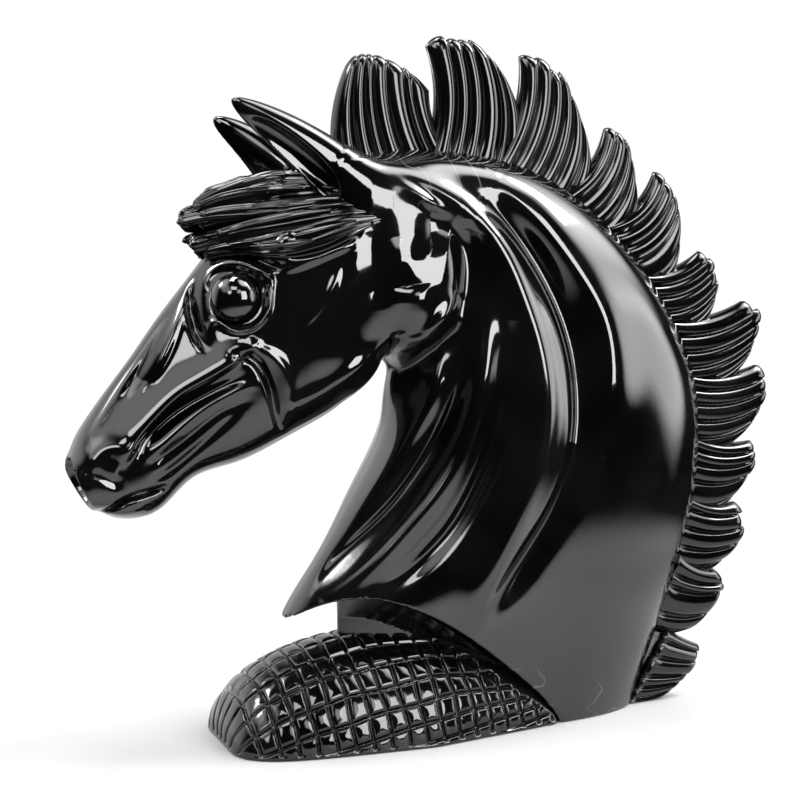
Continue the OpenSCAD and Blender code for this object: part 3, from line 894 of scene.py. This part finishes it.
def hair_lock(side, middle, thick, lift, starts, stops):
    """One ribbed lock that tapers to a blunt tip: points, faces and painted shade in the valleys between
    its ribs.
    """
    s = np.linspace(0, 1, HAIR_RINGS + 1)
    sweep = rng.uniform(-0.45, 0.45)
    start, stop = rng.uniform(*starts), rng.uniform(*stops)
    t = start + (stop - start) * s
    u = np.clip(middle + sweep * (t - 0.5), 0, LAST_GUIDE)
    x, z = guide_line(u, t).T
    z = z + rng.uniform(-0.7, 0.7) * np.sin(2.6 * t * np.pi + rng.uniform(0, 6))
    # it lies on the skull, or spans freely where that falls away
    skull = np.sqrt(np.clip(sample(body_map, x, z)[0], 0, None))
    free = (1.2 + 12 * (u / LAST_GUIDE) ** 0.9) * ramp(1.25, 0.35, t)
    y = np.maximum(skull, free) + 0.2 + lift
    y = np.convolve(np.pad(y, 5, mode="edge"), np.ones(11) / 11, "valid")
    y = y * (1 - 0.25 * ramp(0.75, 1.0, t))
    centre = np.stack([x, y * side, z + 0.5 * lift], 1)
    ahead = one_long(np.gradient(centre, axis=0))
    out = np.array([0, side * 1.0, 0.45]) + 0 * centre
    out = one_long(out - (out * ahead).sum(1)[:, None] * ahead)
    over = np.cross(ahead, out)
    blunt = np.sqrt(np.clip(1 - np.clip((s - 0.93) / 0.07, 0, 1) ** 2, 0, 1))
    size = thick * rng.uniform(0.85, 1.1) * (0.25 + 0.75 * ramp(0, 0.35, s))
    size = size * (1 - 0.3 * s) * blunt + 0.1
    angle = np.linspace(0, 2 * np.pi, HAIR_STEPS, endpoint=False)
    ribs = 1 + RIB_HEIGHT * np.cos(RIBS * angle + rng.uniform(0, 6))
    turn, rise = np.cos(angle)[None, :, None], 0.8 * np.sin(angle)[None, :, None]
    section = turn * over[:, None] + rise * out[:, None]
    points = centre[:, None] + size[:, None, None] * ribs[None, :, None] * section
    m = np.arange(HAIR_STEPS // 2 - 1)
    foot = np.stack([m, HAIR_STEPS - 1 - m, HAIR_STEPS - 2 - m, m + 1], 1)
    faces = [tube_faces(HAIR_RINGS, HAIR_STEPS), foot[:, ::-1], foot + HAIR_RINGS * HAIR_STEPS]
    # painted shade in the valleys between the ribs
    return points.reshape(-1, 3), np.concatenate(faces), np.tile(ramp(0.95, 0.84, ribs), HAIR_RINGS + 1)


def forelock():
    """Combed locks that lie on the skull and end in a ragged tuft over the forehead."""
    parts, total = [], 0
    for side in (-1, 1):
        for count, thick, lift, starts, stops in layers:
            for j in range(count):
                middle = (j + rng.uniform(-0.2, 0.2)) / (count - 1) * LAST_GUIDE
                points, faces, groove = hair_lock(side, middle, thick, lift, starts, stops)
                parts.append((points, faces + total, groove))
                total += len(points)
    return [np.concatenate(column) for column in zip(*parts)]


points, faces, groove = forelock()
make_piece("forelock_hair", points, faces, hair_stone, "carved_hair_stone", ["forelock"], groove=groove)


# ---- mound -----------------------------------------------------------------


MOUND_X, MOUND_HALF, MOUND_HEIGHT = -20, 29.5, 32.5
FRONT_END = -74
CELL, FAN = 5.8, 10.5  # between the rings of grooves in mm, between the grooves along it in degrees
GROOVE_DEPTH = 1.2


def groove_section(far):
    """A narrow cut between softly rounded cells, by the distance from its middle."""
    return np.exp(-((far / 0.5) ** 2)) + 0.2 * np.exp(-((far / 1.6) ** 2))


def mound_grooves(x, y, z):
    """0 on the cells, 1 in the middle of a groove."""
    wobble = 0.25 * np.sin(0.21 * x + 0.4 * z) + 0.2 * np.sin(0.33 * y + 0.17 * x)
    # rings around the mound, leaning a little
    lean = np.radians(-8)
    a = ((x - FRONT_END - 1 + wobble) * np.cos(lean) - z * np.sin(lean)) / CELL
    rings = groove_section(np.abs(a - np.round(a)) * CELL) * ramp(FRONT_END, FRONT_END + 4, x)
    # a fan along it, about an axis that rises to the back
    tilt = np.radians(13)
    dx, dz = x - 40, z - 2
    up = dz * np.cos(tilt) - dx * np.sin(tilt)
    far = np.hypot(y, up) + 1e-6
    b = np.degrees(np.arctan2(y + wobble, up)) / FAN - 0.5
    fan = groove_section(np.abs(b - np.round(b)) * np.radians(FAN) * far)
    # a plain band stays under the chest's edge, and the foot is plain too
    band = np.interp(x, (-10, 5, 20, 32), (6.4, 4.6, 4.2, 1.6))
    hatched = ramp(-0.7, 0.7, under_edge(x, z)[1] - band)
    return np.maximum(rings, fan) * hatched * ramp(0.6, 1.8, z)


def mound_field(x, y, z):
    """Field of the mound: blunt at the front, arched lengthways, narrower to the back."""
    u = np.clip(np.abs(x - MOUND_X) / 54.5, 0, 0.999)
    wide = MOUND_HALF - 0.235 * np.clip(x + 12, 0, None)
    wide = wide * np.where(x < MOUND_X, (1 - u**4.5) ** (1 / 4.5), 1)
    tall = MOUND_HEIGHT * (1 - u**2.2) ** (1 / 2.2)
    ring = np.sqrt((y / wide) ** 2 + (z / tall) ** 2) + 1e-6
    size = ring / np.sqrt((y / wide**2) ** 2 + (z / tall**2) ** 2 + 1e-9)
    dome = (ring - 1) * size
    dome = smooth_max(dome, np.abs(x - MOUND_X) - (MOUND_X - FRONT_END), 2.5)
    return smooth_max(dome + GROOVE_DEPTH * mound_grooves(x, y, z), -z, 0.8)


fine = 0.45
points, quads, normals = surface(mound_field, (-78, -34, -2), (40, 34, 40), fine, 6)
# painted shade in the hatch grooves
dull_and_shaded = np.clip(1.4 * mound_grooves(*points.T) - 0.4, 0, 1)
nodes = ["base_mound"]
make_piece("mound_hatched", points, quads, hatched_stone, "hatched_stone", nodes, normals, groove=dull_and_shaded)


# ---- floor, light and camera ------------------------------------------------


def paper():
    """Sheet of matt white paper under the object that fades out into the white backdrop."""
    material = bpy.data.materials.new("floor_paper")
    material.use_nodes = True
    nodes, links = material.node_tree.nodes, material.node_tree.links
    shader = nodes["Principled BSDF"]
    shader.inputs["Base Color"].default_value = (0.4, 0.4, 0.4, 1)
    shader.inputs["Roughness"].default_value = 0.6
    place = nodes.new("ShaderNodeTexCoord")
    # opaque up to 14 cm from the middle, gone at 27 cm
    far = nodes.new("ShaderNodeVectorMath")
    far.operation = "LENGTH"
    links.new(place.outputs["Object"], far.inputs[0])
    fade = nodes.new("ShaderNodeMapRange")
    fade.interpolation_type = "SMOOTHSTEP"
    fade.inputs["From Min"].default_value = 0.14
    fade.inputs["From Max"].default_value = 0.27
    links.new(far.outputs["Value"], fade.inputs["Value"])
    clear = nodes.new("ShaderNodeBsdfTransparent")
    mixer = nodes.new("ShaderNodeMixShader")
    links.new(fade.outputs["Result"], mixer.inputs["Fac"])
    links.new(shader.outputs["BSDF"], mixer.inputs[1])
    links.new(clear.outputs["BSDF"], mixer.inputs[2])
    links.new(mixer.outputs["Shader"], nodes["Material Output"].inputs["Surface"])
    return material


ground = bpy.data.meshes.new("floor")
corners = [(0.5 * x, 0.5 * y, -0.0002) for x, y in ((-1, -1), (1, -1), (1, 1), (-1, 1))]
ground.from_pydata(corners, [], [(0, 1, 2, 3)])
ground.materials.append(paper())
floor = bpy.data.objects.new("floor", ground)
bpy.context.scene.collection.objects.link(floor)


def softbox(name, place, aim, width, depth, radiance):
    """Area light whose face has that brightness."""
    data = bpy.data.lights.new(name, "AREA")
    data.shape = "RECTANGLE"
    data.size, data.size_y = width, depth
    data.energy = radiance * width * depth * np.pi
    lamp = bpy.data.objects.new(name, data)
    lamp.location = place
    lamp.rotation_euler = (Vector(aim) - Vector(place)).to_track_quat("-Z", "Y").to_euler()
    bpy.context.scene.collection.objects.link(lamp)


centre = (0, 0, 0.11)
softbox("top_light", (-0.10, 0.10, 0.95), centre, 0.4, 0.22, 16)
softbox("crest_light", (0.62, -0.05, 0.75), centre, 0.22, 0.4, 24)
softbox("nose_light", (-0.62, 0.28, 0.72), centre, 0.30, 0.20, 16)
softbox("face_light", (-0.30, -0.55, 0.85), centre, 0.40, 0.26, 9)
softbox("window_light", (0.36, -0.82, 0.35), centre, 0.40, 0.56, 12)

# Soft bright patches of the dark studio: direction, full and zero brightness angles, brightness
patches = [
    ((-0.55, 0.20, 0.78), 6, 26, 4.0),
    ((-0.66, -0.24, 0.62), 8, 20, 2.0),
    ((0.45, -0.12, 0.87), 6, 20, 9.0),
    ((0.75, 0.02, 0.65), 6, 24, 5.0),
    ((0.88, -0.06, 0.46), 6, 20, 2.5),
    ((0.96, -0.24, 0.10), 9, 21, 4.6),
    ((0.30, 0.90, 0.30), 10, 50, 1.2),
    ((-0.70, 0.70, 0.20), 8, 40, 1.6),
    ((0.10, -0.84, 0.52), 3, 12, 5.0),
    ((-0.61, -0.62, 0.49), 5, 11, 9.0),
]
AMBIENT = 0.01


def studio():
    """The camera sees a white backdrop; the stone mirrors a dark studio with the bright patches."""
    world = bpy.data.worlds.new("studio")
    world.use_nodes = True
    nodes, links = world.node_tree.nodes, world.node_tree.links
    backdrop = nodes["Background"]
    backdrop.inputs["Color"].default_value = (1, 1, 1, 1)
    backdrop.inputs["Strength"].default_value = 1.0
    dim = nodes.new("ShaderNodeBackground")
    dim.inputs["Color"].default_value = (1, 1, 1, 1)
    gaze = nodes.new("ShaderNodeTexCoord")
    glow = None
    for direction, inner, outer, bright in patches:
        dot = nodes.new("ShaderNodeVectorMath")
        dot.operation = "DOT_PRODUCT"
        links.new(gaze.outputs["Generated"], dot.inputs[0])
        dot.inputs[1].default_value = Vector(direction).normalized()
        lobe = nodes.new("ShaderNodeMapRange")
        lobe.interpolation_type = "SMOOTHSTEP"
        lobe.inputs["From Min"].default_value = np.cos(np.radians(outer))
        lobe.inputs["From Max"].default_value = np.cos(np.radians(inner))
        lobe.inputs["To Max"].default_value = bright
        links.new(dot.outputs["Value"], lobe.inputs["Value"])
        total = nodes.new("ShaderNodeMath")
        links.new(lobe.outputs["Result"], total.inputs[0])
        if glow is None:
            total.inputs[1].default_value = AMBIENT
        else:
            links.new(glow, total.inputs[1])
        glow = total.outputs[0]
    links.new(glow, dim.inputs["Strength"])
    path = nodes.new("ShaderNodeLightPath")
    mixer = nodes.new("ShaderNodeMixShader")
    links.new(path.outputs["Is Camera Ray"], mixer.inputs["Fac"])
    links.new(dim.outputs["Background"], mixer.inputs[1])
    links.new(backdrop.outputs["Background"], mixer.inputs[2])
    links.new(mixer.outputs["Shader"], nodes["World Output"].inputs["Surface"])
    return world


bpy.context.scene.world = studio()
bpy.context.scene.view_settings.view_transform = "Standard"

# the camera stands this far off and sees this width at that distance
DISTANCE, VIEW_WIDTH = 610, 254.4
lens = bpy.data.cameras.new("camera")
lens.sensor_width = 36
lens.lens = lens.sensor_width * DISTANCE / VIEW_WIDTH
lens.clip_start = 0.01
camera = bpy.data.objects.new("camera", lens)
bpy.context.scene.collection.objects.link(camera)
aim = Vector((-13.7, 0, 105.3)) * unit
azimuth, elevation = np.radians(-20), np.radians(6.5)
flat = np.cos(elevation)
back_off = Vector((np.sin(azimuth) * flat, -np.cos(azimuth) * flat, np.sin(elevation)))
camera.location = aim + back_off * DISTANCE * unit
camera.rotation_euler = (-back_off).to_track_quat("-Z", "Y").to_euler()
bpy.context.scene.camera = camera
